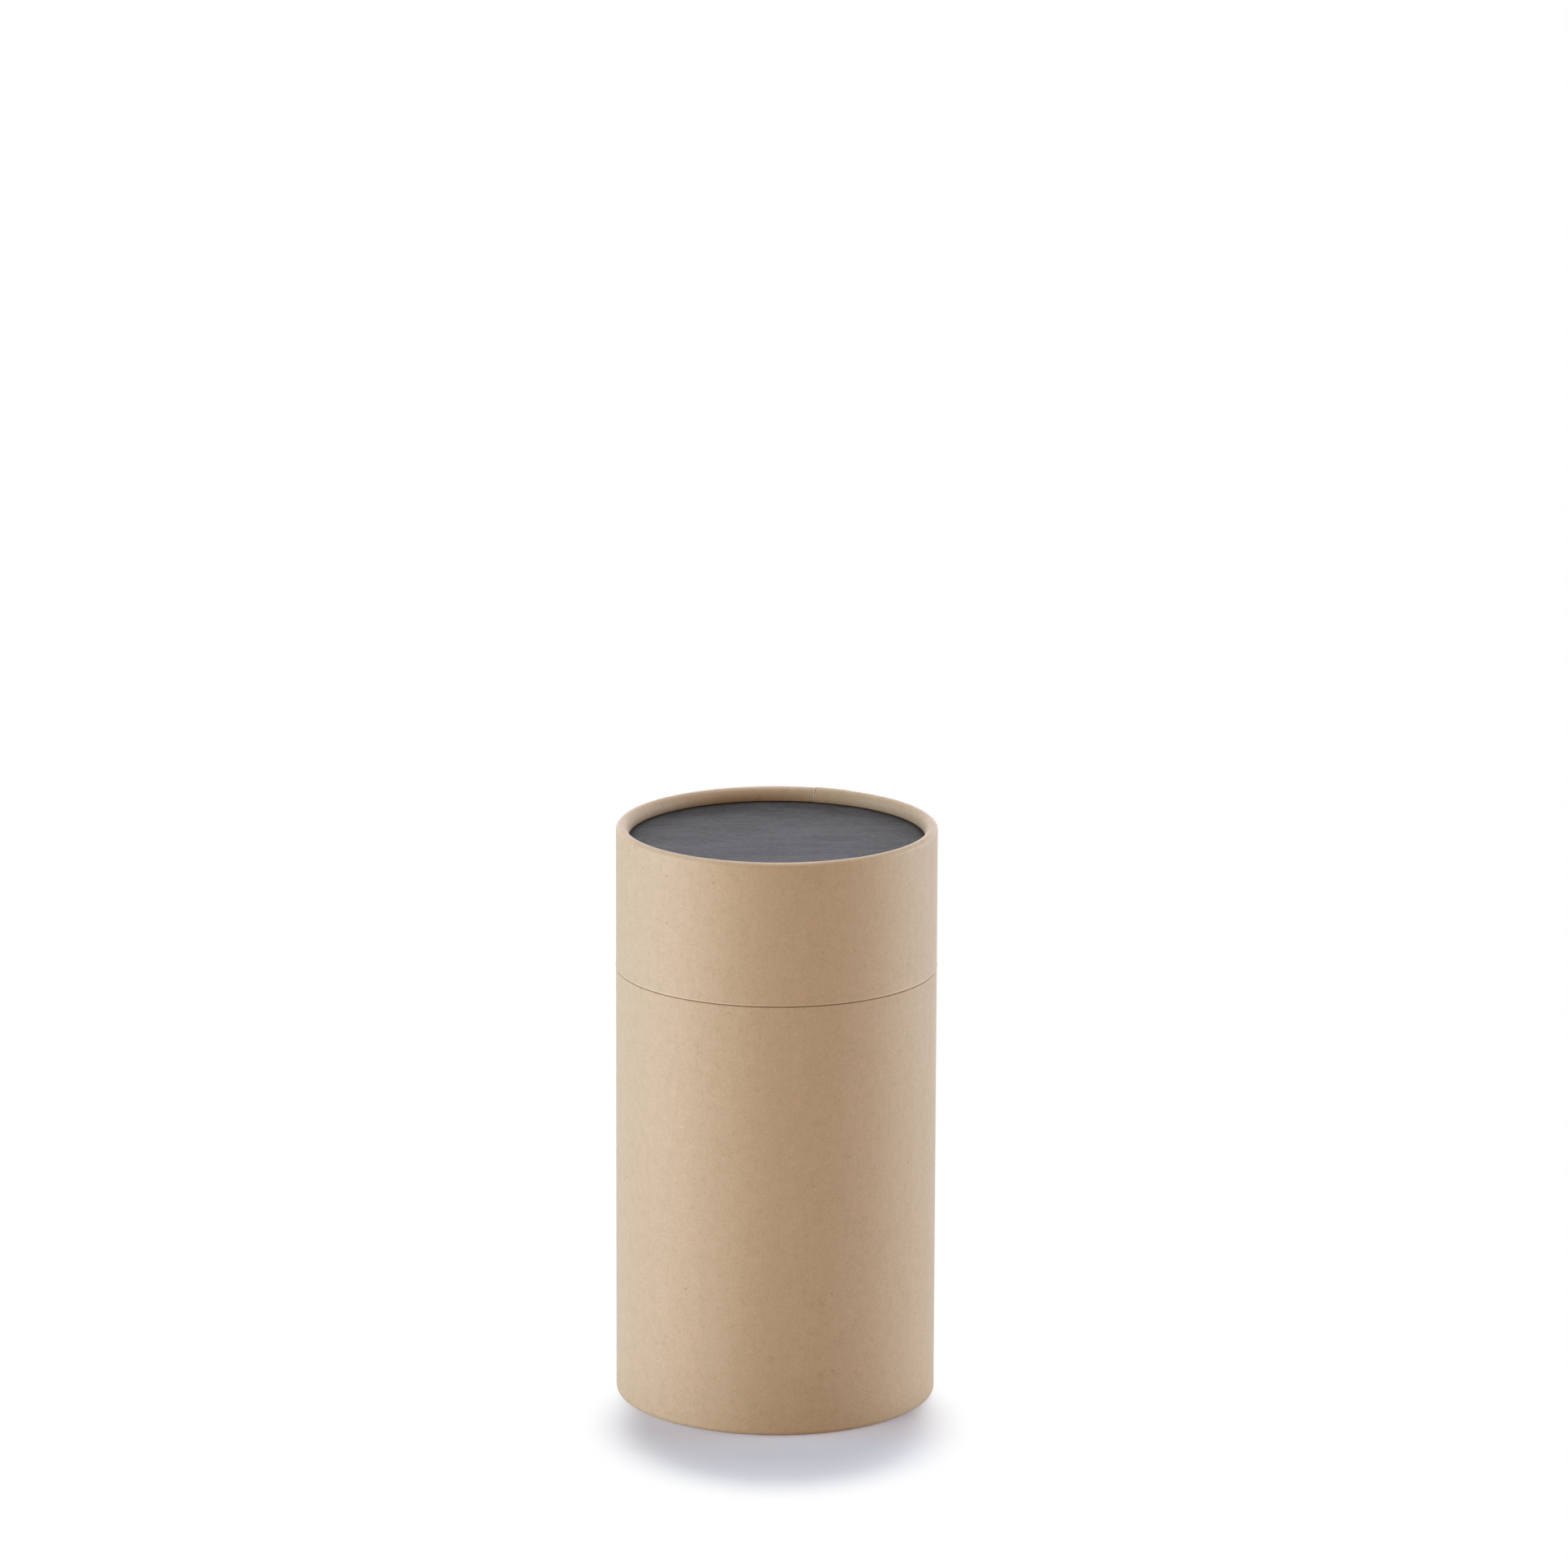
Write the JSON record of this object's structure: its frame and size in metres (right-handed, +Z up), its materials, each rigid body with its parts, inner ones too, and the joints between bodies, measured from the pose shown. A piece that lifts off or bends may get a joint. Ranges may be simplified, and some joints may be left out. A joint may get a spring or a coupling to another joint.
{
  "type": "kraft paper tube",
  "caption": "Round kraft paper tube with a lift-off lid of the same diameter, a hidden neck tube, curled ends and dark recessed end discs.",
  "frame": {"origin": "centre of the circle that the tube stands on", "axes": "+Z up along the tube's axis, -Y towards the side that the picture shows"},
  "size_m": [0.073, 0.073, 0.1338],
  "materials": {
    "outer_kraft": null,
    "inner_kraft": null,
    "black_board": null
  },
  "bodies": {
    "body": {"body_shell": "outer_kraft", "base_disc": "black_board", "neck_tube": "inner_kraft"},
    "lid": {"lid_shell": "outer_kraft", "lid_disc": "black_board"}
  },
  "joints": [
    {"name": "lid_slide", "type": "slide", "parent": "body", "child": "lid", "axis": [0, 0, 1], "range_m": [0, 0.035]}
  ]
}
